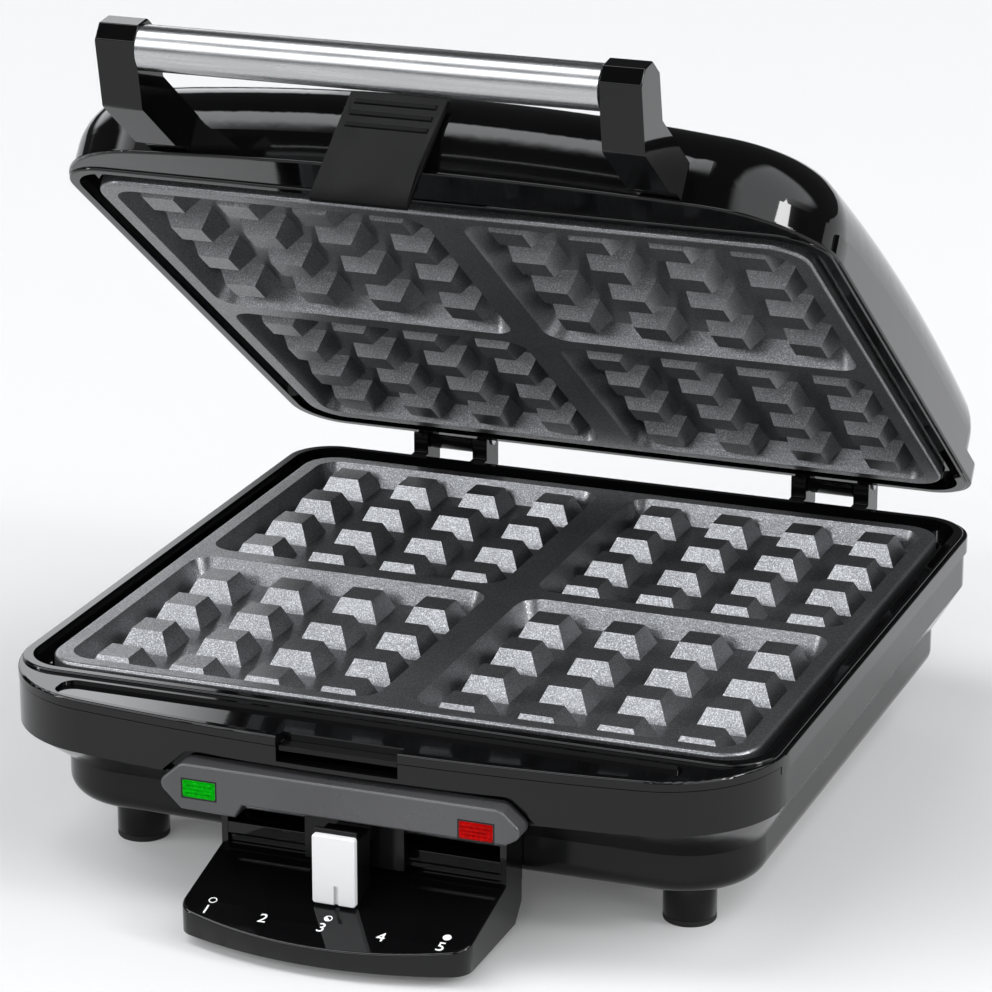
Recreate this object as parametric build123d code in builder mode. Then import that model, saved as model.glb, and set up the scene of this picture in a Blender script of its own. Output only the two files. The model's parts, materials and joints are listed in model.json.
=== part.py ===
from build123d import *
import math
import os

# Four-square Belgian waffle maker, standing open on its feet.
# Millimetres. X to the right, Y to the back, Z up. The origin is on the table
# under the middle of the grid plates. Lid pieces are drawn with the lid shut
# and then turned about the hinge to the resting opening angle.

# ---- driving dimensions ----
plate_width = 230.0
plate_depth = 218.0
plate_radius = 12.0
plate_thickness = 10.3
lower_rim_z = 62.8
plate_gap = 1.0
plate_screw_places = [(-58, 0), (58, 0), (0, -80), (0, 80)]
screw_bite = 5.0
clear_hole = 2.1
screw_radius = 1.96
screw_head_radius = 3.6
upper_rim_z = lower_rim_z + plate_gap

stud_pitch_x = 25.4
stud_pitch_y = 24.9
stud_top = 10.4
stud_spread = 3.2
stud_drop = 0.4
pocket_depth = 7.2
stud_field_x = 57.5
stud_field_y = 55.7
pocket_x = 57.6
pocket_y = 53.6
pocket_half_x = 51.9
pocket_half_y = 50.0
pocket_radius = 8.0
pocket_taper = 20.0
studs_per_side = 4

body_side = 123.0
body_front = -141.5
body_back = 118.0
front_bow = 11.5
front_radius = 38.0
back_radius = 15.0
wall = 2.5

tub_side = 114.0
tub_front = -113.5
tub_back = 112.0
tub_front_radius = 26.0
tub_back_radius = 14.0
tub_bow = 0.8
tub_bottom_z = 16.5
tub_bottom_fillet = 6.0
taper_start_z = 30.0
band_bottom_z = 45.0
side_seam_z = 57.0
front_seam_z = 59.4
deck_z = 62.8
ridge_z = 63.8
corner_cut_y = -104.0
seam = 0.3

hinge_y = 130.0
hinge_z = 68.6
open_angle = 35.94
hinge_x = 70.0
knuckle_width = 16.0
ear_width = 5.5
ear_gap = 0.4
pin_radius = 2.0
running_clearance = 0.05
seat_clearance = 0.02

lid_ridge_z = ridge_z + 0.4
lid_deck_z = 64.9
lid_front = -139.8
cover_front_z = 66.3
cover_side_z = 72.2
crown_peak_y = 30.0
crown_peak_z = 105.5
crown_sphere = 1265.0
crown_radius = 21.0
cover_back_radius = 26.0

foot_x = 91.0
foot_y = 89.0
foot_radius = 8.25
foot_pad_height = 1.9
foot_places = [(x, y) for x in (-foot_x, foot_x) for y in (-foot_y, foot_y)]

handle_y = -181.7
handle_z = 80.3
handle_radius = 6.8
handle_wall = 1.2
handle_half_length = 71.0
bracket_thickness = 12.8
handle_screw_places = [(-78, 72), (78, 72)]

latch_x = -7.0
latch_width = 31.0
latch_pivot_y = -133.8
latch_pivot_z = 76.0
latch_rest_angle = 7.0
latch_ear_x = 9.0
latch_pin_radius = 1.2

recess_left = -21.5
recess_right = 17.5
recess_bottom_z = 54.7
arch_half = 59.0
arch_top_z = 53.3

panel_face_y = -146.0
shelf_half = 46.2
shelf_front = -169.0
shelf_end_y = -160.0
shelf_back_z = 19.5
shelf_bottom_z = 3.5
ledge_front = -127.5
ledge_top_z = 26.4
knob_width = 13.7
rail_y = -124.0
rail_z = 31.1
rail_radius = 1.2
skirt_half = 16.0
lever_pivot_y = -61.0
lever_pin_y = -118.0
lever_z = 26.9
lever_thickness = 1.4

gland_x = 60.0
gland_z = 24.2

element_radius = 3.25
element_z = 49.0
reflector_z = 41.2
sheet = 1.0

os.makedirs("parts", exist_ok=True)


def body_plan(side, front, back, corner, rear_corner, bow, z):
    """Plan outline with a bowed front edge and rounded corners."""
    shoulder = front + bow
    with BuildSketch(Plane.XY.offset(z)) as plan:
        with BuildLine():
            ThreePointArc((-side, shoulder), (0, front), (side, shoulder))
            Line((side, shoulder), (side, back))
            Line((side, back), (-side, back))
            Line((-side, back), (-side, shoulder))
        make_face()
        fillet(plan.vertices().group_by(Axis.Y)[0], corner)
        fillet(plan.vertices().group_by(Axis.Y)[-1], rear_corner)
    return plan.sketch


def band_plan(inset, z, front=body_front, rear_radius=back_radius):
    """Outline of the body's widest band, moved inwards by inset."""
    return body_plan(
        body_side - inset,
        front + inset,
        body_back - inset,
        front_radius - inset,
        rear_radius - inset,
        front_bow,
        z,
    )


def tub_plan(inset, z):
    """Outline of the narrower tub under the band, moved inwards by inset."""
    return body_plan(
        tub_side - inset,
        tub_front + inset,
        tub_back - inset,
        tub_front_radius - inset,
        tub_back_radius - inset,
        tub_bow,
        z,
    )


def frame_plan(half_x, half_front, half_back, radius, z):
    """Rounded rectangle from y = -half_front to y = half_back."""
    with BuildSketch(Plane.XY.offset(z)) as plan:
        with Locations((0, (half_back - half_front) / 2)):
            RectangleRounded(2 * half_x, half_front + half_back, radius)
    return plan.sketch


def housing_solid(inset, floor_z, top_z):
    """Tub, tapered underside and band as one closed solid."""
    with BuildPart() as solid:
        extrude(tub_plan(inset, floor_z), amount=taper_start_z - floor_z)
        loft([tub_plan(inset, taper_start_z), band_plan(inset, band_bottom_z)], ruled=True)
        extrude(band_plan(inset, band_bottom_z), amount=top_z - band_bottom_z)
    return solid.part


def front_skin(outer_inset, inner_inset, z_low, z_high, y_limit, front=body_front):
    """Curved strip that follows the bowed front and its two corners."""
    height = z_high - z_low
    with BuildPart() as strip:
        extrude(band_plan(outer_inset, z_low, front), amount=height)
        extrude(band_plan(inner_inset, z_low, front), amount=height, mode=Mode.SUBTRACT)
        with Locations((0, y_limit + 150, z_low + height / 2)):
            Box(300, 300, height + 2, mode=Mode.SUBTRACT)
    return strip.part


def block(x_low, x_high, y_low, y_high, z_low, z_high):
    """Plain box between two corners, for cutting."""
    middle = ((x_low + x_high) / 2, (y_low + y_high) / 2, (z_low + z_high) / 2)
    size = (x_high - x_low, y_high - y_low, z_high - z_low)
    return Pos(*middle) * Box(*size, mode=Mode.PRIVATE)


def opened(shape):
    """Turn a lid piece from shut to the resting opening angle."""
    hinge_axis = Axis((0, hinge_y, hinge_z), (-1, 0, 0))
    return shape.rotate(hinge_axis, open_angle)


def grid_plate(rim_z, up):
    """Cast grid plate with four studded pockets. up is 1 or -1, the way the studs point."""
    facing = Plane((0, 0, rim_z), x_dir=(1, 0, 0), z_dir=(0, 0, up))
    with BuildPart() as plate:
        with BuildSketch(facing):
            RectangleRounded(plate_width, plate_depth, plate_radius)
        extrude(amount=-plate_thickness)
        fillet(plate.faces().sort_by(Axis.Z)[-1 if up > 0 else 0].edges(), 1.2)
        with BuildSketch(facing):
            with GridLocations(2 * pocket_x, 2 * pocket_y, 2, 2):
                RectangleRounded(2 * pocket_half_x, 2 * pocket_half_y, pocket_radius)
        extrude(amount=-pocket_depth, taper=pocket_taper, mode=Mode.SUBTRACT)
        with BuildSketch(facing.offset(-stud_drop)):
            with GridLocations(2 * stud_field_x, 2 * stud_field_y, 2, 2):
                with GridLocations(stud_pitch_x, stud_pitch_y, studs_per_side, studs_per_side):
                    Rectangle(stud_top, stud_top)
        stud_height = pocket_depth - stud_drop
        stud_taper = math.degrees(math.atan(stud_spread / stud_height))
        extrude(amount=-stud_height, taper=-stud_taper)
        with Locations(*[facing.offset(-plate_thickness) * Pos(x, y) for x, y in plate_screw_places]):
            Cylinder(2.0, 2 * screw_bite, mode=Mode.SUBTRACT)
    return plate.part


def heating_element(z):
    """Tubular element bent in a loop, with both cold ends at the back."""
    reach_x = 78
    reach_y = 66
    tail_x = 22
    tail_y = 98
    with BuildPart() as element:
        with BuildLine(Plane.XY.offset(z)) as route:
            FilletPolyline(
                (-tail_x, tail_y),
                (-tail_x, reach_y),
                (-reach_x, reach_y),
                (-reach_x, -reach_y),
                (reach_x, -reach_y),
                (reach_x, reach_y),
                (tail_x, reach_y),
                (tail_x, tail_y),
                radius=16,
            )
        with BuildSketch(Plane(route.line @ 0, z_dir=route.line % 0)):
            Circle(element_radius)
        sweep()
        with Locations((-tail_x, tail_y + 4, z), (tail_x, tail_y + 4, z)):
            Cylinder(1.4, 8, rotation=(90, 0, 0))
    return element.part


def element_clamps(z, up):
    """Four bent straps that hold the element against the plate."""
    strap_z = z - up * (element_radius + sheet / 2)
    foot_z = z + up * (element_radius - sheet / 2)
    with BuildPart() as clamps:
        with Locations((-78, 30), (78, 30), (-78, -30), (78, -30)):
            with Locations((0, 0, strap_z)):
                Box(9.0, 8, sheet)
            for side in (-1, 1):
                with Locations((side * 4.0, 0, (strap_z + foot_z) / 2)):
                    Box(sheet, 8, abs(strap_z - foot_z) + sheet)
                with Locations((side * 6.0, 0, foot_z)):
                    Box(4, 8, sheet)
    return clamps.part


def reflector(z, up):
    """Sheet-metal pan behind the element, with a raised rim towards the plate."""
    half_x = 103
    half_y = 97
    rim_height = 9.5
    facing = Plane((0, 0, z), x_dir=(1, 0, 0), z_dir=(0, 0, up))
    with BuildPart() as pan:
        with BuildSketch(facing):
            RectangleRounded(2 * half_x, 2 * half_y, 10)
        extrude(amount=rim_height)
        with BuildSketch(facing.offset(sheet)):
            RectangleRounded(2 * (half_x - sheet), 2 * (half_y - sheet), 9)
        extrude(amount=rim_height, mode=Mode.SUBTRACT)
        with BuildSketch(facing):
            with Locations(*plate_screw_places):
                Circle(clear_hole)
            with Locations(*foot_places):
                Circle(clear_hole)
        extrude(amount=sheet, mode=Mode.SUBTRACT)
        with BuildSketch(facing):
            with Locations((-22, up * half_y), (22, up * half_y)):
                Rectangle(8.5, 6)
        extrude(amount=rim_height, mode=Mode.SUBTRACT)
    return pan.part


def plate_screws(pan_z, plate_back_z, up):
    """Pan-head screws from the reflector into the plate's ribs."""
    start = Plane((0, 0, pan_z), x_dir=(1, 0, 0), z_dir=(0, 0, up))
    grip = abs(plate_back_z - pan_z) + screw_bite - 0.5
    with BuildPart() as screws:
        with BuildSketch(start):
            with Locations(*plate_screw_places):
                Circle(screw_radius)
        extrude(amount=grip)
        with BuildSketch(start):
            with Locations(*plate_screw_places):
                Circle(screw_head_radius)
        extrude(amount=-2.2)
        with BuildSketch(start.offset(-2.2)):
            with Locations(*plate_screw_places):
                Rectangle(4.4, 0.8)
        extrude(amount=0.9, mode=Mode.SUBTRACT)
    return screws.part


def save(shape, name):
    """Label a finished piece and write it."""
    shape.label = name
    export_step(shape, f"parts/{name}.step")


# ================= base =================

# ---- lower housing: tub, tapered underside, band and four foot posts ----
fascia_thickness = 2.4
fascia_proud = 0.8
bezel_proud = 1.0
with BuildPart() as lower_housing:
    add(housing_solid(0, tub_bottom_z, side_seam_z - seam))
    fillet(lower_housing.faces().sort_by(Axis.Z)[0].edges(), tub_bottom_fillet)
    add(housing_solid(wall, tub_bottom_z + wall, side_seam_z + 1), mode=Mode.SUBTRACT)
    fascia_room = front_skin(
        -1, fascia_thickness + seam, band_bottom_z + 0.2, side_seam_z + 1, corner_cut_y + seam
    )
    add(fascia_room, mode=Mode.SUBTRACT)
    add(
        front_skin(
            fascia_thickness + seam,
            fascia_thickness + seam + wall,
            band_bottom_z,
            side_seam_z - seam,
            corner_cut_y - 2,
        )
    )
    # a screw pillar over each foot
    with BuildSketch(Plane.XY.offset(tub_bottom_z + 1)):
        with Locations(*foot_places):
            Circle(4.6)
    extrude(amount=reflector_z - tub_bottom_z - 1.1)
    with BuildSketch(Plane.XY.offset(foot_pad_height)):
        with Locations(*foot_places):
            Circle(clear_hole)
    extrude(amount=50, mode=Mode.SUBTRACT)
    # arch for the indicator panel, room for the latch hook, slot for the lever, cord hole
    add(block(-arch_half - 0.6, arch_half + 0.6, -150, -138, 42, 54), mode=Mode.SUBTRACT)
    add(block(recess_left - 0.5, recess_right + 0.5, -150, -129, 54, 60), mode=Mode.SUBTRACT)
    add(block(-43.5, 43.5, -122, -108, ledge_top_z - 0.1, 29.8), mode=Mode.SUBTRACT)
    with BuildSketch(Plane((gland_x, tub_back + 1, gland_z), x_dir=(1, 0, 0), z_dir=(0, 1, 0))):
        Circle(5.0)
    extrude(amount=-5, mode=Mode.SUBTRACT)
    # rows of vent slots in the floor
    with BuildSketch(Plane.XY.offset(tub_bottom_z - 1)):
        with GridLocations(0, 14, 1, 7):
            with Locations((-45, 0), (45, 0)):
                SlotOverall(50, 4)
    extrude(amount=wall + 2, mode=Mode.SUBTRACT)
save(lower_housing.part, "lower_housing")

# ---- foot posts, with a counterbore for the screw's head ----
with BuildPart() as foot_posts:
    with BuildSketch(Plane.XY.offset(foot_pad_height)):
        with Locations(*foot_places):
            Circle(foot_radius)
    extrude(amount=tub_bottom_z - foot_pad_height)
    with BuildSketch(Plane.XY.offset(foot_pad_height)):
        with Locations(*foot_places):
            Circle(4.3)
    extrude(amount=7, mode=Mode.SUBTRACT)
    with BuildSketch(Plane.XY.offset(foot_pad_height)):
        with Locations(*foot_places):
            Circle(clear_hole)
    extrude(amount=tub_bottom_z, mode=Mode.SUBTRACT)
save(foot_posts.part, "foot_posts")

# ---- front fascia: the bowed strip round the front and both corners ----
with BuildPart() as front_fascia:
    add(front_skin(-fascia_proud, fascia_thickness, band_bottom_z + 0.4, front_seam_z, corner_cut_y))
    with BuildSketch(Plane.XZ.offset(120)) as arch:
        with BuildLine():
            Polyline(
                (-arch_half - 1, 40),
                (-arch_half - 1, 45.6),
                (-51.6, arch_top_z),
                (51.6, arch_top_z),
                (arch_half + 2.5, 44.2),
                (arch_half + 2.5, 40),
                close=True,
            )
        make_face()
        fillet(arch.vertices().group_by(Axis.Y)[-1], 5)
        with Locations(((recess_left + recess_right) / 2, recess_bottom_z + 5)):
            Rectangle(recess_right - recess_left, 10)
    extrude(amount=30, mode=Mode.SUBTRACT)
save(front_fascia.part, "front_fascia")

# ---- base bezel: ridge and trough round the plate, deck in front ----
opening_clearance = 0.8
ridge_inner = 119.6
trough_z = 59.6
groove_half = 100.0
with BuildPart() as deck_groove:
    with BuildSketch(Plane.XY.offset(60)) as groove_plan:
        with BuildLine():
            ThreePointArc((-groove_half, -132.5), (0, body_front + 1.4), (groove_half, -132.5))
            Polyline(
                (groove_half, -132.5),
                (groove_half, -121.5),
                (-groove_half, -121.5),
                (-groove_half, -132.5),
            )
        make_face()
        fillet(groove_plan.vertices(), 4.5)
    extrude(amount=6)
    with BuildSketch(Plane.YZ):
        with BuildLine():
            Polyline((-121, 61.3), (-142, 62.5), (-142, 65), (-121, 65), close=True)
        make_face()
    extrude(amount=110, both=True, mode=Mode.INTERSECT)

with BuildPart() as base_bezel:
    extrude(band_plan(-bezel_proud, side_seam_z), amount=deck_z - side_seam_z)
    fillet(base_bezel.faces().sort_by(Axis.Z)[-1].edges(), 0.8)
    extrude(frame_plan(body_side - 0.2, 118.6, 117.8, 16, deck_z - 1), amount=ridge_z - deck_z + 1)
    fillet(base_bezel.faces().sort_by(Axis.Z)[-1].edges(), 0.8)
    # trough and plate opening
    trough = frame_plan(ridge_inner, 115.6, 114.8, 13.5, trough_z)
    extrude(trough, amount=10, mode=Mode.SUBTRACT)
    opening = frame_plan(
        plate_width / 2 + opening_clearance,
        plate_depth / 2 + opening_clearance,
        plate_depth / 2 + opening_clearance,
        plate_radius + opening_clearance,
        side_seam_z - 1,
    )
    extrude(opening, amount=10, mode=Mode.SUBTRACT)
    # the deck is a shelf in front: hollow beneath, and it stops above the fascia
    add(front_skin(-2, 14, side_seam_z - 1, front_seam_z + seam, corner_cut_y), mode=Mode.SUBTRACT)
    add(block(-110, 110, -129, -109, side_seam_z - 1, front_seam_z + seam), mode=Mode.SUBTRACT)
    add(deck_groove.part, mode=Mode.SUBTRACT)
    notch = block(recess_left, recess_right, -150, -136.2, 50, 70)
    add(notch, mode=Mode.SUBTRACT)
save(base_bezel.part, "base_bezel")

# ---- latch catch: steel strip under the deck that the latch hook snaps behind ----
with BuildPart() as latch_catch:
    with BuildSketch(Plane.XY.offset(57.9)):
        with Locations(((recess_left + recess_right) / 2, -136.4)):
            Rectangle(recess_right - recess_left - 1, 9.2)
    extrude(amount=1.7)
save(latch_catch.part, "latch_catch")

# ---- lower grid plate, element, clamps, reflector and their screws ----
lower_plate_back = lower_rim_z - plate_thickness
save(grid_plate(lower_rim_z, 1), "lower_grid_plate")
save(heating_element(element_z), "lower_heating_element")
save(element_clamps(element_z, 1), "lower_element_clamps")
save(reflector(reflector_z, 1), "lower_reflector")
save(plate_screws(reflector_z, lower_plate_back, 1), "lower_plate_screws")

# ---- rubber feet ----
with BuildPart() as rubber_feet:
    with BuildSketch():
        with Locations(*foot_places):
            Circle(foot_radius)
    extrude(amount=foot_pad_height)
    fillet(rubber_feet.faces().group_by(Axis.Z)[0].edges(), 0.6)
save(rubber_feet.part, "rubber_feet")

# ---- housing screws, up through the foot posts ----
with BuildPart() as housing_screws:
    with BuildSketch(Plane.XY.offset(foot_pad_height + 4.4)):
        with Locations(*foot_places):
            Circle(3.9)
    extrude(amount=2.5)
    with BuildSketch(Plane.XY.offset(foot_pad_height + 6.8)):
        with Locations(*foot_places):
            Circle(screw_radius)
    extrude(amount=36)
    with BuildSketch(Plane.XY.offset(foot_pad_height + 4.4)):
        with Locations(*foot_places):
            Rectangle(5, 0.9)
            Rectangle(0.9, 5)
    extrude(amount=1.2, mode=Mode.SUBTRACT)
save(housing_screws.part, "housing_screws")

# ---- indicator panel with two lens windows ----
lens_places = [(-45.0, 43.6), (43.6, 43.6)]
lens_size = (10.6, 5.5)
with BuildPart() as indicator_panel:
    with BuildSketch(Plane.XZ.offset(-panel_face_y)):
        with BuildLine():
            Polyline(
                (-51, 51.3),
                (-59, 44.2),
                (-51, 36.6),
                (-33.4, 36.2),
                (-31, 40.3),
                (52.5, 40.3),
                (59, 44.2),
                (51, 51.3),
                close=True,
            )
        make_face()
    extrude(amount=-7.8)
    fillet(indicator_panel.edges().filter_by(Axis.Y).group_by(Axis.Z)[-1], 4.0)
    fillet(indicator_panel.edges().filter_by(Axis.Y).group_by(Axis.X)[0], 3.0)
    fillet(indicator_panel.edges().filter_by(Axis.Y).group_by(Axis.X)[-1], 3.0)
    fillet(indicator_panel.faces().sort_by(Axis.Y)[0].edges(), 0.9)
    with BuildSketch(Plane.XZ.offset(-panel_face_y - 2.6)):
        with Locations((0.4, 45.6)):
            Rectangle(98, 6.4)
    extrude(amount=-10, mode=Mode.SUBTRACT)
    with BuildSketch(Plane.XZ.offset(-panel_face_y + 1)):
        with Locations(*lens_places):
            RectangleRounded(lens_size[0] + 0.2, lens_size[1] + 0.2, 0.8)
    extrude(amount=-12, mode=Mode.SUBTRACT)
save(indicator_panel.part, "indicator_panel")


def lens(place):
    """Ribbed indicator lens, slightly proud of the panel."""
    with BuildPart() as cap:
        with BuildSketch(Plane.XZ.offset(-panel_face_y)):
            with Locations(place):
                RectangleRounded(lens_size[0], lens_size[1], 0.7)
        extrude(amount=-4.5)
        with BuildSketch(Plane.XZ.offset(-panel_face_y + 0.45)):
            with Locations(place):
                with GridLocations(0, 1.25, 1, 4):
                    Rectangle(lens_size[0] - 1.2, 0.7)
        extrude(amount=-1)
    return cap.part


save(lens(lens_places[0]), "ready_lens")
save(lens(lens_places[1]), "power_lens")

# ---- neon lamps behind the lenses ----
with BuildPart() as indicator_lamps:
    with BuildSketch(Plane.XZ.offset(-panel_face_y - 4.7)):
        with Locations(*lens_places):
            Circle(2.0)
    extrude(amount=-2.9)
save(indicator_lamps.part, "indicator_lamps")

# ---- control shelf: bowed tray with two cheeks that hold the slider rail ----
cheek = 2.0
with BuildPart() as control_shelf:
    with BuildSketch(Plane.XY.offset(shelf_bottom_z)) as shelf_plan:
        with BuildLine():
            ThreePointArc((-shelf_half, shelf_end_y), (0, shelf_front), (shelf_half, shelf_end_y))
            Line((shelf_half, shelf_end_y), (shelf_half, tub_front - 1))
            Line((shelf_half, tub_front - 1), (-shelf_half, tub_front - 1))
            Line((-shelf_half, tub_front - 1), (-shelf_half, shelf_end_y))
        make_face()
        fillet(shelf_plan.vertices().group_by(Axis.Y)[0], 7)
    extrude(amount=40)
    with BuildSketch(Plane.YZ):
        with BuildLine():
            Polyline(
                (-176, shelf_bottom_z),
                (-176, 7.7),
                (ledge_front, shelf_back_z),
                (tub_front - 0.6, shelf_back_z),
                (tub_front - 0.6, shelf_bottom_z + 6),
                (-120, shelf_bottom_z),
                close=True,
            )
        make_face()
    extrude(amount=60, both=True, mode=Mode.INTERSECT)
    fillet(control_shelf.faces().sort_by(Axis.Z)[-2].edges().sort_by(Axis.Y)[0], 0.9)
    with BuildSketch(Plane.XY.offset(shelf_bottom_z - 1)):
        with Locations((0, -144)):
            RectangleRounded(2 * shelf_half - 6, 34, 4)
    extrude(amount=6.5, mode=Mode.SUBTRACT)
    # cheeks up to the tapered underside
    for side in (-1, 1):
        with BuildSketch(Plane.YZ.offset(side * (shelf_half - cheek / 2))):
            with BuildLine():
                Polyline(
                    (ledge_front, 16),
                    (ledge_front, 36.6),
                    (tub_front - 0.6, 29.4),
                    (tub_front - 0.6, 16),
                    close=True,
                )
            make_face()
        extrude(amount=cheek / 2, both=True)
    with BuildSketch(Plane.YZ):
        with Locations((rail_y, rail_z)):
            Circle(rail_radius + seat_clearance)
    extrude(amount=shelf_half - 0.8, both=True, mode=Mode.SUBTRACT)
save(control_shelf.part, "control_shelf")

# ---- slider ledge: stepped bar behind the knob ----
ledge_half = shelf_half - cheek - 0.1
with BuildPart() as slider_ledge:
    with BuildSketch(Plane.YZ):
        with BuildLine():
            Polyline(
                (ledge_front + 1.6, shelf_back_z + 0.1),
                (ledge_front + 1.6, 21.8),
                (ledge_front, 22.6),
                (ledge_front, ledge_top_z),
                (tub_front - 0.7, ledge_top_z),
                (tub_front - 0.7, shelf_back_z + 0.1),
                close=True,
            )
        make_face()
    extrude(amount=ledge_half, both=True)
save(slider_ledge.part, "slider_ledge")

# ---- slider rail ----
with BuildPart() as slider_rail:
    with BuildSketch(Plane.YZ):
        with Locations((rail_y, rail_z)):
            Circle(rail_radius)
    extrude(amount=shelf_half - 1, both=True)
save(slider_rail.part, "slider_rail")

# ---- slider carriage: runs on the rail, carries the knob and the drive pin ----
with BuildPart() as slider_carriage:
    with BuildSketch(Plane.YZ):
        with Locations((rail_y, rail_z)):
            Rectangle(7, 4.4)
        with Locations((-133, 32.4)):
            Rectangle(11.8, 3.6)
        with Locations((rail_y, rail_z)):
            Circle(rail_radius + running_clearance, mode=Mode.SUBTRACT)
    extrude(amount=5.5, both=True)
    with BuildSketch(Plane.XY.offset(lever_z - 0.2)):
        with Locations((0, lever_pin_y)):
            Circle(1.4)
    extrude(amount=3.6)
    with Locations((0, -119.4, 29.7)):
        Box(5, 5.6, 1.6)
    # skirt that hides the slot on both sides of the knob
    with Locations((0, -132.7, 28.6)):
        Box(2 * skirt_half, 2.2, 14)
save(slider_carriage.part, "slider_carriage")

# ---- slider knob: black body on a stem that passes under the indicator panel ----
knob_back_y = -146.9
knob_seam_y = -148.1
knob_front_y = -150.2
with BuildPart() as slider_knob:
    with BuildSketch(Plane.YZ):
        with BuildLine():
            Polyline(
                (knob_seam_y, 14.9),
                (knob_seam_y, 38.2),
                (knob_back_y, 38.2),
                (knob_back_y, 35.6),
                (-137.6, 35.6),
                (-137.6, 17.5),
                close=True,
            )
        make_face()
    extrude(amount=knob_width / 2 - 0.1, both=True)
    with Locations((0, -136.6, 32.4)):
        Box(11.2, 5.2, 3.8, mode=Mode.SUBTRACT)
save(slider_knob.part, "slider_knob")

# ---- silver knob face with a pointer slot ----
with BuildPart() as knob_face:
    with BuildSketch(Plane.XZ.offset(-knob_front_y)):
        with Locations((0, 25.85)):
            RectangleRounded(knob_width, 21.9, 0.9)
    extrude(amount=knob_front_y - knob_seam_y)
    fillet(knob_face.faces().sort_by(Axis.Y)[0].edges(), 0.5)
    with BuildSketch(Plane.XZ.offset(-knob_front_y + 0.5)):
        with Locations((0.8, 17.4)):
            Rectangle(1.5, 7.4)
    extrude(amount=-1.7, mode=Mode.SUBTRACT)
save(knob_face.part, "knob_face")

# ---- thermostat: body, shaft and forked lever driven by the slider's pin ----
with BuildPart() as thermostat_body:
    with BuildSketch(Plane.XY.offset(33)):
        with Locations((0, lever_pivot_y)):
            Circle(13)
            Rectangle(36, 14)
    extrude(amount=reflector_z - 33 - 0.1)
    with BuildSketch(Plane.XY.offset(32)):
        with Locations((0, lever_pivot_y)):
            Circle(3 + running_clearance)
    extrude(amount=6, mode=Mode.SUBTRACT)
save(thermostat_body.part, "thermostat_body")

with BuildPart() as thermostat_shaft:
    with BuildSketch(Plane.XY.offset(lever_z - 2)):
        with Locations((0, lever_pivot_y)):
            Circle(3)
    extrude(amount=12.6)
save(thermostat_shaft.part, "thermostat_shaft")

lever_slot_half = 3.05
lever_slot_depth = 16.0
lever_half = 4.8
lever_length = 69.8
with BuildPart() as thermostat_lever:
    with BuildSketch(Plane.XY.offset(lever_z)):
        with Locations((0, lever_pivot_y)):
            Circle(8)
        with Locations((0, lever_pivot_y - lever_length / 2)):
            Rectangle(2 * lever_half, lever_length)
        with Locations((0, lever_pivot_y)):
            Circle(3 + seat_clearance, mode=Mode.SUBTRACT)
        with Locations((0, lever_pivot_y - lever_length)):
            Rectangle(2 * lever_slot_half, 2 * lever_slot_depth, mode=Mode.SUBTRACT)
    extrude(amount=lever_thickness)
save(thermostat_lever.part, "thermostat_lever")

# ---- thermal fuse and terminal block ----
with BuildPart() as thermal_fuse:
    with BuildSketch(Plane.YZ.offset(34)):
        with Locations((-20, 38.5)):
            Circle(2.2)
    extrude(amount=16)
    with BuildSketch(Plane.YZ.offset(22)):
        with Locations((-20, 38.5)):
            Circle(0.6)
    extrude(amount=40)
save(thermal_fuse.part, "thermal_fuse")

with BuildPart() as terminal_block:
    with BuildSketch(Plane.XY.offset(tub_bottom_z + wall)):
        with Locations((30, 84)):
            Rectangle(44, 13)
    extrude(amount=11)
    with BuildSketch(Plane.XY.offset(tub_bottom_z + wall + 11)):
        with Locations((30, 84)):
            with GridLocations(10, 0, 4, 1):
                Circle(2.6)
    extrude(amount=-7, mode=Mode.SUBTRACT)
save(terminal_block.part, "terminal_block")

# ---- cord gland in the back wall ----
gland_face = Plane((gland_x, tub_back + 2, gland_z), x_dir=(1, 0, 0), z_dir=(0, 1, 0))
with BuildPart() as cord_gland:
    with BuildSketch(gland_face):
        Circle(5.7)
    extrude(amount=-1.9)
    with BuildSketch(gland_face):
        Circle(4.95)
    extrude(amount=-9)
    with BuildSketch(gland_face.offset(1)):
        Circle(3.5)
    extrude(amount=-12, mode=Mode.SUBTRACT)
save(cord_gland.part, "cord_gland")


# ---- hinges ----
hinge_root_y = body_back + bezel_proud + seat_clearance


def hinge_ear_profile():
    """Side view of one base ear round the hinge axis."""
    with BuildSketch(Plane.YZ) as ear:
        with Locations((hinge_y, hinge_z)):
            Circle(6)
        with Locations((hinge_y, (57.3 + hinge_z) / 2)):
            Rectangle(12, hinge_z - 57.3)
        with Locations(((hinge_root_y + hinge_y) / 2, 59.9)):
            Rectangle(hinge_y - hinge_root_y, 5.2)
        with Locations((hinge_y, hinge_z)):
            Circle(pin_radius + seat_clearance, mode=Mode.SUBTRACT)
    return ear.sketch


ear_offset = knuckle_width / 2 + ear_gap + ear_width / 2
with BuildPart() as hinge_ears:
    for side in (-1, 1):
        for ear_side in (-1, 1):
            middle = side * hinge_x + ear_side * ear_offset
            extrude(Pos(middle, 0, 0) * hinge_ear_profile(), amount=ear_width / 2, both=True)
save(hinge_ears.part, "hinge_ears")

with BuildPart() as hinge_pins:
    for side in (-1, 1):
        with BuildSketch(Plane.YZ.offset(side * hinge_x)):
            with Locations((hinge_y, hinge_z)):
                Circle(pin_radius)
        extrude(amount=ear_offset + ear_width / 2 + 0.6, both=True)
save(hinge_pins.part, "hinge_pins")

# ================= lid, drawn shut =================

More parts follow.
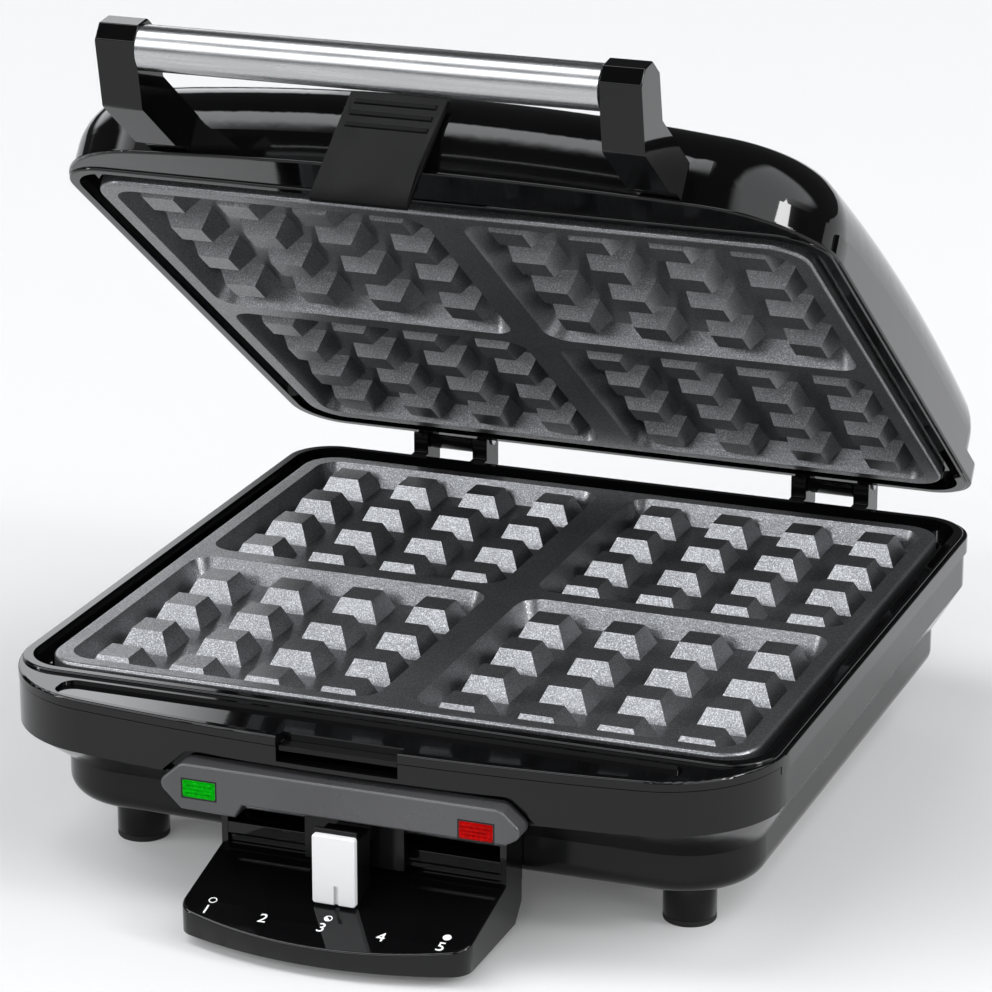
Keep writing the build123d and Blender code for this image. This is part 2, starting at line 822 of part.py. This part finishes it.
with BuildPart() as lid_knuckles:
    for side in (-1, 1):
        with BuildSketch(Plane.YZ.offset(side * hinge_x)):
            with Locations((hinge_y, hinge_z)):
                Circle(5.4)
            with Locations(((hinge_root_y + hinge_y) / 2, hinge_z)):
                Rectangle(hinge_y - hinge_root_y, 5.6)
            with Locations((hinge_y, hinge_z)):
                Circle(pin_radius + running_clearance, mode=Mode.SUBTRACT)
        extrude(amount=knuckle_width / 2, both=True)
save(opened(lid_knuckles.part), "lid_knuckles")

# ---- lid bezel ----
with BuildPart() as lid_bezel:
    extrude(band_plan(-bezel_proud, lid_deck_z, lid_front), amount=cover_side_z - 0.2 - lid_deck_z)
    fillet(lid_bezel.faces().sort_by(Axis.Z)[0].edges(), 0.8)
    ridge = frame_plan(body_side - 0.2, 118.6, 117.8, 16, lid_ridge_z)
    extrude(ridge, amount=lid_deck_z - lid_ridge_z + 1)
    fillet(lid_bezel.faces().sort_by(Axis.Z)[0].edges(), 0.6)
    trough = frame_plan(ridge_inner, 115.6, 114.8, 13.5, lid_ridge_z - 1)
    extrude(trough, amount=4.4, mode=Mode.SUBTRACT)
    opening = frame_plan(
        plate_width / 2 + opening_clearance,
        plate_depth / 2 + opening_clearance,
        plate_depth / 2 + opening_clearance,
        plate_radius + opening_clearance,
        lid_ridge_z - 1,
    )
    extrude(opening, amount=12, mode=Mode.SUBTRACT)
    # in front the cover comes down over the deck
    cover_room = front_skin(-2, 3.2, cover_front_z - 0.25, 80, corner_cut_y + seam, lid_front)
    add(cover_room, mode=Mode.SUBTRACT)
    add(block(-113, 113, -137, -112, 67.6, 80), mode=Mode.SUBTRACT)
    add(block(-115, 115, -128, -110, 67.6, 80), mode=Mode.SUBTRACT)
save(opened(lid_bezel.part), "lid_bezel")


# ---- lid cover: crowned shell ----
def cover_solid(inset, floor_z):
    """Crowned cover shape, moved inwards by inset."""
    with BuildPart() as dome:
        extrude(band_plan(inset, floor_z, lid_front, cover_back_radius), amount=120 - floor_z)
        with Locations((0, crown_peak_y, crown_peak_z - inset - crown_sphere)):
            Sphere(crown_sphere, rotation=(90, 0, 0), mode=Mode.INTERSECT)
        fillet(dome.faces().sort_by(Axis.Z)[-1].edges(), crown_radius - inset)
    return dome.part


latch_half = latch_width / 2
with BuildPart() as lid_cover:
    add(cover_solid(0, cover_front_z))
    add(cover_solid(wall, cover_front_z - 1), mode=Mode.SUBTRACT)
    add(block(-150, 150, corner_cut_y, 150, 60, cover_side_z), mode=Mode.SUBTRACT)
    # slots for the latch's two ears
    for side in (-1, 1):
        ear_x = latch_x + side * latch_ear_x
        ear_slot = block(ear_x - 2.1, ear_x + 2.1, -150, -136, latch_pivot_z - 4.4, latch_pivot_z + 4.4)
        add(ear_slot, mode=Mode.SUBTRACT)
    # holes for the handle screws
    with BuildSketch(Plane.XZ.offset(150)):
        with Locations(*handle_screw_places):
            Circle(clear_hole)
    extrude(amount=-30, mode=Mode.SUBTRACT)
save(opened(lid_cover.part), "lid_cover")

# ---- upper grid plate, element, clamps, reflector and their screws ----
upper_plate_back = upper_rim_z + plate_thickness
upper_element_z = upper_plate_back + (lower_plate_back - element_z)
upper_reflector_z = upper_plate_back + (lower_plate_back - reflector_z)
save(opened(grid_plate(upper_rim_z, -1)), "upper_grid_plate")
save(opened(heating_element(upper_element_z)), "upper_heating_element")
save(opened(element_clamps(upper_element_z, -1)), "upper_element_clamps")
save(opened(reflector(upper_reflector_z, -1)), "upper_reflector")
save(opened(plate_screws(upper_reflector_z, upper_plate_back, -1)), "upper_plate_screws")


# ---- handle: two cranked brackets and a tube between them ----
def handle_bracket(side):
    """Cranked arm from the cover's front to the end of the tube."""
    with BuildPart() as arm:
        with BuildSketch(Plane.YZ.offset(side * (handle_half_length + bracket_thickness / 2))) as crank:
            with BuildLine():
                Polyline(
                    (-132, 66.5),
                    (-140, 66.5),
                    (-146, 64.3),
                    (-173, 64.3),
                    (-188.5, 79.0),
                    (-188.5, 84.2),
                    (-184, 88.4),
                    (-176, 88.4),
                    (-165.0, 78.5),
                    (-132, 78.5),
                    close=True,
                )
            make_face()
            fillet(crank.vertices().sort_by(Axis.Y)[:4], 2.0)
        extrude(amount=bracket_thickness / 2, both=True)
        fillet(arm.edges().filter_by(GeomType.LINE).sort_by(Axis.Y)[:6], 0.5)
        with BuildSketch(Plane.YZ.offset(side * (handle_half_length + 1))):
            with Locations((handle_y, handle_z)):
                Circle(handle_radius - handle_wall - 0.05)
        extrude(amount=-side * 9)
        add(cover_solid(0, 60), mode=Mode.SUBTRACT)
        with BuildSketch(Plane.XZ.offset(150)):
            with Locations(handle_screw_places[0 if side < 0 else 1]):
                Circle(screw_radius + seat_clearance)
        extrude(amount=-20, mode=Mode.SUBTRACT)
    return arm.part


save(opened(handle_bracket(-1)), "handle_bracket_left")
save(opened(handle_bracket(1)), "handle_bracket_right")

with BuildPart() as handle_tube:
    with BuildSketch(Plane.YZ):
        with Locations((handle_y, handle_z)):
            Circle(handle_radius)
            Circle(handle_radius - handle_wall, mode=Mode.SUBTRACT)
    extrude(amount=handle_half_length - 0.1, both=True)
save(opened(handle_tube.part), "handle_tube")

with BuildPart() as handle_screws:
    with BuildSketch(Plane.XZ.offset(149)):
        with Locations(*handle_screw_places):
            Circle(screw_radius)
    extrude(amount=-17.6)
    with BuildSketch(Plane.XZ.offset(131.5)):
        with Locations(*handle_screw_places):
            Circle(screw_head_radius)
    extrude(amount=-2.2)
save(opened(handle_screws.part), "handle_screws")

# ---- latch: sprung flap on a pin, with a hook at its foot ----
# It is drawn latched and then swung out to the angle at which it rests.
def swung(shape):
    """Turn the latch from hooked to its resting angle."""
    return shape.rotate(Axis((0, latch_pivot_y, latch_pivot_z), (-1, 0, 0)), latch_rest_angle)


with BuildPart() as latch_flap:
    with BuildSketch(Plane.YZ.offset(latch_x)):
        with BuildLine():
            Polyline(
                (-149.0, 47.6),
                (-141.2, 88.6),
                (-139.2, 88.6),
                (-145.2, 57.4),
                (-139.4, 57.4),
                (-139.4, 56.2),
                (-141.6, 54.9),
                (-145.7, 54.9),
                (-147.1, 47.6),
                close=True,
            )
        make_face()
    extrude(amount=latch_half, both=True)
    for side in (-1, 1):
        # the hook is narrower than the flap
        trim = block(latch_x + side * 15 - 3, latch_x + side * 15 + 3, -144.9, -138, 54, 58.5)
        add(trim, mode=Mode.SUBTRACT)
    for rib_z in (84.6, 80.2, 75.8):
        rib_y = -141.2 + (rib_z - 88.6) * 7.8 / 41
        with Locations((latch_x, rib_y, rib_z)):
            Box(latch_width - 5, 1.1, 1.5)
    # ears that carry the flap on its pin
    for side in (-1, 1):
        with BuildSketch(Plane.YZ.offset(latch_x + side * latch_ear_x)):
            with Locations((latch_pivot_y, latch_pivot_z)):
                Circle(2.6)
            with Locations(((latch_pivot_y - 142) / 2, latch_pivot_z)):
                Rectangle(abs(latch_pivot_y + 142), 5.0)
            with Locations((latch_pivot_y, latch_pivot_z)):
                Circle(latch_pin_radius + running_clearance, mode=Mode.SUBTRACT)
        extrude(amount=1.5, both=True)
save(opened(swung(latch_flap.part)), "latch_flap")

with BuildPart() as latch_pin:
    with BuildSketch(Plane.YZ.offset(latch_x)):
        with Locations((latch_pivot_y, latch_pivot_z)):
            Circle(latch_pin_radius)
    extrude(amount=12.9, both=True)
save(opened(latch_pin.part), "latch_pin")

with BuildPart() as latch_bracket:
    with Locations((latch_x, -135.8, latch_pivot_z - 1.8)):
        Box(26, 1.4, 7.4)
    for side in (-1, 1):
        with Locations((latch_x + side * latch_ear_x, -135.8, latch_pivot_z + 0.2)):
            Box(4.2, 3, 9.4, mode=Mode.SUBTRACT)
        with BuildSketch(Plane.YZ.offset(latch_x + side * 12.2)):
            with Locations((-133.2, latch_pivot_z - 0.2)):
                Rectangle(6.0, 6.4)
            with Locations((latch_pivot_y, latch_pivot_z)):
                Circle(latch_pin_radius + seat_clearance, mode=Mode.SUBTRACT)
        extrude(amount=0.8, both=True)
save(opened(latch_bracket.part), "latch_bracket")
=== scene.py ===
import bpy
import bmesh
import json
import math
from mathutils import Matrix, Vector


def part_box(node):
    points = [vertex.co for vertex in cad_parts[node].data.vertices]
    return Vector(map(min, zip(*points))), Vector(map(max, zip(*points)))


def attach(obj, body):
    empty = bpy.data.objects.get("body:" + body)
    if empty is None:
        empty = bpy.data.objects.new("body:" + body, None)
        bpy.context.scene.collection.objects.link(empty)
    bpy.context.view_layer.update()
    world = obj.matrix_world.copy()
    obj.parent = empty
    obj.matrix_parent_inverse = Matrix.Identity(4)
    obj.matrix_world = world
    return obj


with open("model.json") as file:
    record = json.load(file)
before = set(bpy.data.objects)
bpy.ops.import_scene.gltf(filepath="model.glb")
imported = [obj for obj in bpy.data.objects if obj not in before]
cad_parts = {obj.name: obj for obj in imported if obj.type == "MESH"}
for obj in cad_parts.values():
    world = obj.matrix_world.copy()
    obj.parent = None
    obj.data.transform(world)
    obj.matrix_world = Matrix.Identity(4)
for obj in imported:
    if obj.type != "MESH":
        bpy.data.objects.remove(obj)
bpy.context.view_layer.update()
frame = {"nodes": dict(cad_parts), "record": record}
nodes = frame["nodes"]
record = frame["record"]
slot_of = {entry["node"]: entry["material_slot"] for entry in record["subparts"]}
scene = bpy.context.scene
MM = 0.001

# ------------------------------------------------------------------ camera

YAW = math.radians(20.781)
PITCH = math.radians(18.762)
CAMERA_PLACE = (0.4558, -1.2156, 0.5363)
back = Vector((math.sin(YAW) * math.cos(PITCH), -math.cos(YAW) * math.cos(PITCH), math.sin(PITCH)))
right = Vector((math.cos(YAW), math.sin(YAW), 0))
up = back.cross(right)
camera_data = bpy.data.cameras.new("camera")
camera_data.lens = 154.9
camera_data.sensor_width = 36
camera_data.clip_start = 0.01
camera_data.clip_end = 50
camera = bpy.data.objects.new("camera", camera_data)
scene.collection.objects.link(camera)
camera_turn = Matrix((right, up, back)).transposed().to_4x4()
camera.matrix_world = Matrix.Translation(CAMERA_PLACE) @ camera_turn
scene.camera = camera


# ------------------------------------------------------------------ materials


def new_material(name):
    """Material with a Principled shader; returns it with its node tree and shader."""
    material = bpy.data.materials.new(name)
    material.use_nodes = True
    shader = material.node_tree.nodes["Principled BSDF"]
    return material, material.node_tree, shader


def noise(tree, scale, detail=4.0, roughness=0.5, stretch=None):
    """Noise texture on object coordinates, optionally stretched along one axis."""
    texture = tree.nodes.new("ShaderNodeTexNoise")
    texture.inputs["Scale"].default_value = scale
    texture.inputs["Detail"].default_value = detail
    texture.inputs["Roughness"].default_value = roughness
    coordinates = tree.nodes.new("ShaderNodeTexCoord")
    if stretch:
        mapping = tree.nodes.new("ShaderNodeMapping")
        mapping.inputs["Scale"].default_value = stretch
        tree.links.new(coordinates.outputs["Object"], mapping.inputs["Vector"])
        tree.links.new(mapping.outputs["Vector"], texture.inputs["Vector"])
    else:
        tree.links.new(coordinates.outputs["Object"], texture.inputs["Vector"])
    return texture


def ramp(tree, source, stops):
    """Colour ramp over a texture's factor. stops is a list of (position, value or colour)."""
    node = tree.nodes.new("ShaderNodeValToRGB")
    elements = node.color_ramp.elements
    while len(elements) < len(stops):
        elements.new(0.5)
    for element, (position, value) in zip(elements, stops):
        element.position = position
        element.color = (value, value, value, 1) if isinstance(value, float) else (*value, 1)
    tree.links.new(source, node.inputs["Fac"])
    return node


def bump(tree, shader, source, distance, strength=1.0, previous=None):
    """Bump from a height source, chained after an earlier one if given."""
    node = tree.nodes.new("ShaderNodeBump")
    node.inputs["Strength"].default_value = strength
    node.inputs["Distance"].default_value = distance
    tree.links.new(source, node.inputs["Height"])
    if previous:
        tree.links.new(previous.outputs["Normal"], node.inputs["Normal"])
    tree.links.new(node.outputs["Normal"], shader.inputs["Normal"])
    return node


def moulded(name, colour, rough_low, rough_high, grain_scale, grain_depth, spread=0.25, specular=0.5):
    """Moulded plastic: slight colour drift, roughness patches and a fine surface grain."""
    material, tree, shader = new_material(name)
    shader.inputs["Specular IOR Level"].default_value = specular
    drift = noise(tree, 18.0, 3.0)
    dark = tuple(c * (1 - spread) for c in colour)
    light = tuple(c * (1 + spread) for c in colour)
    tint = ramp(tree, drift.outputs["Fac"], [(0.3, dark), (0.7, light)])
    tree.links.new(tint.outputs["Color"], shader.inputs["Base Color"])
    patches = noise(tree, 60.0, 5.0)
    sheen = ramp(tree, patches.outputs["Fac"], [(0.3, rough_low), (0.7, rough_high)])
    tree.links.new(sheen.outputs["Color"], shader.inputs["Roughness"])
    grain = noise(tree, grain_scale, 2.0)
    bump(tree, shader, grain.outputs["Fac"], grain_depth)
    return material


def metal(name, colour, rough_low, rough_high, stretch, scale=400.0, depth=0.00002):
    """Rolled or drawn metal with brushing along one axis."""
    material, tree, shader = new_material(name)
    shader.inputs["Metallic"].default_value = 1.0
    brushing = noise(tree, scale, 3.0, stretch=stretch)
    dark = tuple(c * 0.86 for c in colour)
    tint = ramp(tree, brushing.outputs["Fac"], [(0.3, dark), (0.7, colour)])
    tree.links.new(tint.outputs["Color"], shader.inputs["Base Color"])
    sheen = ramp(tree, brushing.outputs["Fac"], [(0.3, rough_low), (0.7, rough_high)])
    tree.links.new(sheen.outputs["Color"], shader.inputs["Roughness"])
    bump(tree, shader, brushing.outputs["Fac"], depth, 0.6)
    return material


def nonstick_material():
    """Coated casting: pale mineral flecks in a satin dark grey coat with a pebbled surface."""
    material, tree, shader = new_material("nonstick_coat")
    shader.inputs["Metallic"].default_value = 0.85
    fleck = noise(tree, 2400.0, 2.0, 0.7)
    cloud = noise(tree, 40.0, 4.0)
    base = ramp(tree, cloud.outputs["Fac"], [(0.3, (0.13, 0.133, 0.139)), (0.7, (0.18, 0.184, 0.191))])
    flakes = ramp(tree, fleck.outputs["Fac"], [(0.46, (0.0, 0.0, 0.0)), (0.75, (0.3, 0.305, 0.315))])
    mix = tree.nodes.new("ShaderNodeMix")
    mix.data_type = "RGBA"
    mix.blend_type = "ADD"
    mix.inputs["Factor"].default_value = 1.0
    tree.links.new(base.outputs["Color"], mix.inputs[6])
    tree.links.new(flakes.outputs["Color"], mix.inputs[7])
    tree.links.new(mix.outputs[2], shader.inputs["Base Color"])
    sheen = ramp(tree, fleck.outputs["Fac"], [(0.35, 0.4), (0.65, 0.28)])
    tree.links.new(sheen.outputs["Color"], shader.inputs["Roughness"])
    coarse = noise(tree, 900.0, 2.0)
    first = bump(tree, shader, coarse.outputs["Fac"], 0.00008, 0.8)
    bump(tree, shader, fleck.outputs["Fac"], 0.00002, 0.6, first)
    return material


def lens_material(name, colour, glow):
    """Ribbed translucent lens with a slight inner glow and moulded cells."""
    material, tree, shader = new_material(name)
    shader.inputs["Roughness"].default_value = 0.25
    shader.inputs["Specular IOR Level"].default_value = 0.05
    shader.inputs["Emission Strength"].default_value = glow
    cells = tree.nodes.new("ShaderNodeTexVoronoi")
    cells.inputs["Scale"].default_value = 900.0
    coordinates = tree.nodes.new("ShaderNodeTexCoord")
    tree.links.new(coordinates.outputs["Object"], cells.inputs["Vector"])
    dark = tuple(c * 0.55 for c in colour)
    tint = ramp(tree, cells.outputs["Distance"], [(0.0, colour), (0.8, dark)])
    tree.links.new(tint.outputs["Color"], shader.inputs["Base Color"])
    tree.links.new(tint.outputs["Color"], shader.inputs["Emission Color"])
    bump(tree, shader, cells.outputs["Distance"], 0.0001, 0.4)
    return material


materials = {
    "black_plastic": moulded(
        "black_moulding", (0.0035, 0.0035, 0.0037), 0.1, 0.17, 1500.0, 0.000008, specular=0.22
    ),
    "gloss_black": moulded(
        "gloss_black_moulding", (0.0022, 0.0022, 0.0024), 0.03, 0.06, 500.0, 0.000002, specular=0.34
    ),
    "satin_black": moulded(
        "satin_black_moulding", (0.003, 0.003, 0.0032), 0.2, 0.28, 2200.0, 0.00001, specular=0.07
    ),
    "satin_grey": moulded(
        "satin_grey_moulding", (0.05, 0.05, 0.052), 0.26, 0.34, 2200.0, 0.000015, specular=0.6
    ),
    "silver_plastic": moulded("silver_coat", (0.72, 0.725, 0.73), 0.28, 0.36, 1800.0, 0.00001, 0.03),
    "nonstick": nonstick_material(),
    "bright_steel": metal("stamped_steel", (0.56, 0.56, 0.57), 0.28, 0.4, (1, 8, 8)),
    "tube_steel": metal("satin_tube", (0.52, 0.525, 0.53), 0.24, 0.29, (0.04, 1, 1), 900.0, 0.000006),
    "screw_steel": metal("zinc_plate", (0.5, 0.5, 0.52), 0.3, 0.45, (1, 1, 6)),
    "element_sheath": metal("heat_tinted_sheath", (0.3, 0.26, 0.22), 0.4, 0.55, (1, 1, 1), 120.0),
    "reflector_sheet": metal("rolled_sheet", (0.72, 0.73, 0.74), 0.25, 0.4, (0.1, 3, 3)),
    "foot_rubber": moulded(
        "foot_rubber_coat", (0.008, 0.008, 0.008), 0.55, 0.7, 1800.0, 0.00004, specular=0.3
    ),
    "green_lens": lens_material("green_lens_plastic", (0.0, 0.32, 0.003), 0.5),
    "red_lens": lens_material("red_lens_plastic", (0.36, 0.0012, 0.001), 0.45),
    "lamp_glass": moulded("lamp_glass_body", (0.8, 0.78, 0.7), 0.08, 0.12, 800.0, 0.00001, 0.05),
    "ceramic_white": moulded("ceramic_body", (0.72, 0.69, 0.62), 0.35, 0.5, 700.0, 0.00004, 0.08),
    "marking": moulded("marking_ink", (0.85, 0.85, 0.84), 0.4, 0.5, 3000.0, 0.000005, 0.05),
}

for node_name, obj in nodes.items():
    material = materials[slot_of[node_name]]
    if not obj.material_slots:
        obj.data.materials.append(material)
    for material_slot in obj.material_slots:
        material_slot.material = material


# Moulded edges catch a thin line of light: a narrow rounding, in millimetres, on the crisp pieces.
ROUNDED = {
    "handle_bracket_left": 0.7,
    "handle_bracket_right": 0.7,
    "latch_flap": 0.4,
    "control_shelf": 0.4,
    "slider_ledge": 0.3,
    "slider_knob": 0.3,
    "hinge_ears": 0.4,
    "lid_knuckles": 0.4,
    "latch_catch": 0.2,
    "foot_posts": 0.2,
}
for node_name, width in ROUNDED.items():
    obj = nodes[node_name]
    weld = obj.modifiers.new("weld", "WELD")
    weld.merge_threshold = 0.01 * MM
    rounding = obj.modifiers.new("rounding", "BEVEL")
    rounding.width = width * MM
    rounding.segments = 2
    rounding.limit_method = "ANGLE"
    rounding.angle_limit = math.radians(32)
    rounding.harden_normals = True


# ------------------------------------------------------------------ pieces


def make_object(name, mesh, material, body):
    """Links a mesh as a named piece that rides on a body."""
    obj = bpy.data.objects.new(name, mesh)
    scene.collection.objects.link(obj)
    obj.data.materials.append(materials[material])
    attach(obj, body)
    return obj


# The shelf's top is a plane through two level lines, given as (y, z) in millimetres.
SHELF_FRONT = (-176.0, 7.7)
SHELF_BACK = (-127.5, 19.5)
SHELF_SLOPE = (SHELF_BACK[1] - SHELF_FRONT[1]) / (SHELF_BACK[0] - SHELF_FRONT[0])
PRINT_LIFT = 0.08
PRINT_HALF_THICKNESS = 0.00004


def shelf_matrix(x, y):
    """Frame on the shelf's top at x, y in metres: local X right, local Y up the slope."""
    z = (SHELF_BACK[1] + (y / MM - SHELF_BACK[0]) * SHELF_SLOPE + PRINT_LIFT) * MM
    return Matrix.Translation((x, y, z)) @ Matrix.Rotation(math.atan(SHELF_SLOPE), 4, "X")


def text_piece(name, word, x, y, size):
    """A flat numeral, thick enough to print over the shelf."""
    curve = bpy.data.curves.new(name, "FONT")
    curve.body = word
    curve.size = size
    curve.align_x = "CENTER"
    curve.align_y = "CENTER"
    curve.extrude = PRINT_HALF_THICKNESS
    temporary = bpy.data.objects.new(name, curve)
    scene.collection.objects.link(temporary)
    bpy.context.view_layer.update()
    mesh = bpy.data.meshes.new_from_object(temporary.evaluated_get(bpy.context.evaluated_depsgraph_get()))
    bpy.data.objects.remove(temporary)
    mesh.transform(shelf_matrix(x, y))
    mesh.materials.clear()
    return make_object(name, mesh, "marking", "base")


def ring_piece(name, x, y, outer, inner, fill):
    """Round dial mark: fill is 'open', 'half' or 'full'."""
    bm = bmesh.new()
    steps = 40
    for k in range(steps):
        a0 = 2 * math.pi * k / steps
        a1 = 2 * math.pi * (k + 1) / steps
        middle = (a0 + a1) / 2
        solid = fill == "full" or (fill == "half" and math.sin(middle + 0.8) < 0)
        low = 0.0 if solid else inner
        points = []
        for radius, angle in ((low, a0), (outer, a0), (outer, a1), (low, a1)):
            points.append((radius * math.cos(angle), radius * math.sin(angle), PRINT_HALF_THICKNESS))
        if low == 0.0:
            points = points[:3]
        bm.faces.new([bm.verts.new(p) for p in points])
    bmesh.ops.remove_doubles(bm, verts=bm.verts, dist=1e-7)
    extruded = bmesh.ops.extrude_face_region(bm, geom=bm.faces[:])
    moved = [v for v in extruded["geom"] if isinstance(v, bmesh.types.BMVert)]
    bmesh.ops.translate(bm, verts=moved, vec=(0, 0, -2 * PRINT_HALF_THICKNESS))
    bmesh.ops.recalc_face_normals(bm, faces=bm.faces[:])
    mesh = bpy.data.meshes.new(name)
    bm.to_mesh(mesh)
    bm.free()
    mesh.transform(shelf_matrix(x, y))
    return make_object(name, mesh, "marking", "base")


NUMERAL_X = (-0.0372, -0.0187, 0.0, 0.0190, 0.0378)
NUMERAL_Y = -0.1597
NUMERAL_SIZE = 0.0057
MARK_Y = NUMERAL_Y + 0.0046
MARK_OUTER = 0.0013
MARK_INNER = 0.0010
for index, x in enumerate(NUMERAL_X):
    text_piece(f"numeral_{index + 1}", str(index + 1), x, NUMERAL_Y, NUMERAL_SIZE)
ring_piece("mark_light", NUMERAL_X[0] + 0.0003, MARK_Y, MARK_OUTER, MARK_INNER, "open")
ring_piece("mark_medium", NUMERAL_X[2] + 0.0004, MARK_Y, MARK_OUTER, MARK_INNER, "half")
ring_piece("mark_dark", NUMERAL_X[4] + 0.0003, MARK_Y, MARK_OUTER, MARK_INNER, "full")


PANEL_FACE_Y = -0.146
GASKET_PROUD = 0.00005
GASKET_THICKNESS = 0.00004
GASKET_WIDTH = 0.0005


def frame_piece(name, around, border, body):
    """Thin dark gasket lying on the indicator panel's face round a lens."""
    low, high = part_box(around)
    face_y = PANEL_FACE_Y - GASKET_PROUD
    inner = ((low[0], low[2]), (high[0], low[2]), (high[0], high[2]), (low[0], high[2]))
    outer = (
        (low[0] - border, low[2] - border),
        (high[0] + border, low[2] - border),
        (high[0] + border, high[2] + border),
        (low[0] - border, high[2] + border),
    )
    bm = bmesh.new()
    front_inner = [bm.verts.new((x, face_y, z)) for x, z in inner]
    front_outer = [bm.verts.new((x, face_y, z)) for x, z in outer]
    for k in range(4):
        following = (k + 1) % 4
        bm.faces.new((front_outer[k], front_outer[following], front_inner[following], front_inner[k]))
    extruded = bmesh.ops.extrude_face_region(bm, geom=bm.faces[:])
    moved = [v for v in extruded["geom"] if isinstance(v, bmesh.types.BMVert)]
    bmesh.ops.translate(bm, verts=moved, vec=(0, GASKET_THICKNESS, 0))
    bmesh.ops.recalc_face_normals(bm, faces=bm.faces[:])
    mesh = bpy.data.meshes.new(name)
    bm.to_mesh(mesh)
    bm.free()
    return make_object(name, mesh, "gloss_black", body)


for lens_name in ("ready_lens", "power_lens"):
    frame_piece(f"{lens_name}_gasket", lens_name, GASKET_WIDTH, "base")

# ------------------------------------------------------------------ stage and light

FLOOR_HALF_WIDTH = 20.0
floor_mesh = bpy.data.meshes.new("floor")
bm = bmesh.new()
bmesh.ops.create_grid(bm, x_segments=2, y_segments=2, size=FLOOR_HALF_WIDTH)
bm.to_mesh(floor_mesh)
bm.free()
floor = bpy.data.objects.new("floor", floor_mesh)
scene.collection.objects.link(floor)
floor_material, floor_tree, floor_shader = new_material("floor_paper")
floor_shader.inputs["Base Color"].default_value = (0.6, 0.6, 0.6, 1)
floor_shader.inputs["Roughness"].default_value = 0.9
floor_shader.inputs["Specular IOR Level"].default_value = 0.1
floor_shader.inputs["Emission Color"].default_value = (1.0, 1.0, 1.0, 1)
floor_shader.inputs["Emission Strength"].default_value = 0.08
floor.data.materials.append(floor_material)

world = bpy.data.worlds.new("studio")
world.use_nodes = True
scene.world = world
studio = world.node_tree
backdrop = studio.nodes["Background"]
direction = studio.nodes.new("ShaderNodeSeparateXYZ")
studio.links.new(studio.nodes.new("ShaderNodeTexCoord").outputs["Generated"], direction.inputs["Vector"])


def calculate(operation, first, second):
    """One math node; its inputs are sockets or plain numbers."""
    node = studio.nodes.new("ShaderNodeMath")
    node.operation = operation
    for socket, value in zip(node.inputs, (first, second)):
        if isinstance(value, (int, float)):
            socket.default_value = value
        else:
            studio.links.new(value, socket)
    return node.outputs["Value"]


def rise(axis, low, high):
    """Smooth step from 0 at low to 1 at high along one axis of the sky's direction."""
    node = studio.nodes.new("ShaderNodeMapRange")
    node.interpolation_type = "SMOOTHSTEP"
    studio.links.new(direction.outputs[axis], node.inputs["Value"])
    node.inputs["From Min"].default_value = min(low, high)
    node.inputs["From Max"].default_value = max(low, high)
    node.inputs["To Min"].default_value = 0.0 if low < high else 1.0
    node.inputs["To Max"].default_value = 1.0 if low < high else 0.0
    return node.outputs["Result"]


def panel(radiance, *edges):
    """Softly edged light panel in the sky, as the product of its edges."""
    value = radiance
    for edge in edges:
        value = calculate("MULTIPLY", value, edge)
    return value


AMBIENT = 0.05
light_panels = [
    # over the front of the object: fades forwards, ends sharply at the back
    panel(
        5.4,
        rise("X", -0.86, -0.8),
        rise("X", 0.0, -0.1),
        rise("Y", -0.44, -0.16),
        rise("Y", 0.1, 0.04),
        rise("Z", 0.2, 0.4),
    ),
    # low in front, for the cast plates and the tube
    panel(
        4.0,
        rise("X", -0.9, -0.8),
        rise("X", 0.5, 0.3),
        rise("Y", -0.35, -0.5),
        rise("Z", 0.22, 0.42),
        rise("Z", 0.69, 0.61),
    ),
    # low behind and to the left
    panel(
        2.4,
        rise("X", -0.37, -0.42),
        rise("Y", 0.3, 0.5),
        rise("Z", 0.1, 0.2),
        rise("Z", 0.5, 0.42),
    ),
    # overhead to the right, which lights the floor
    panel(
        2.6,
        rise("X", 0.28, 0.4),
        rise("X", 0.95, 0.85),
        rise("Y", -0.6, -0.45),
        rise("Y", 0.6, 0.5),
        rise("Z", 0.2, 0.4),
    ),
]
total = AMBIENT
for light_panel in light_panels:
    total = calculate("ADD", total, light_panel)
studio.links.new(total, backdrop.inputs["Strength"])
backdrop.inputs["Color"].default_value = (0.97, 0.98, 1.0, 1)


def softbox(name, location, target, size_x, size_y, power):
    """Rectangular area light that looks at a point."""
    light = bpy.data.lights.new(name, "AREA")
    light.shape = "RECTANGLE"
    light.size = size_x
    light.size_y = size_y
    light.energy = power
    obj = bpy.data.objects.new(name, light)
    scene.collection.objects.link(obj)
    obj.location = location
    obj.rotation_euler = (Vector(target) - Vector(location)).to_track_quat("-Z", "Y").to_euler()
    return obj


softbox("rim_right", (1.55, -0.2, 0.8), (0.1, -0.1, 0.15), 0.3, 0.5, 11)
softbox("strip_left", (-1.5, -0.9, 0.5), (-0.1, -0.1, 0.1), 0.12, 0.7, 6)

scene.view_settings.view_transform = "Standard"
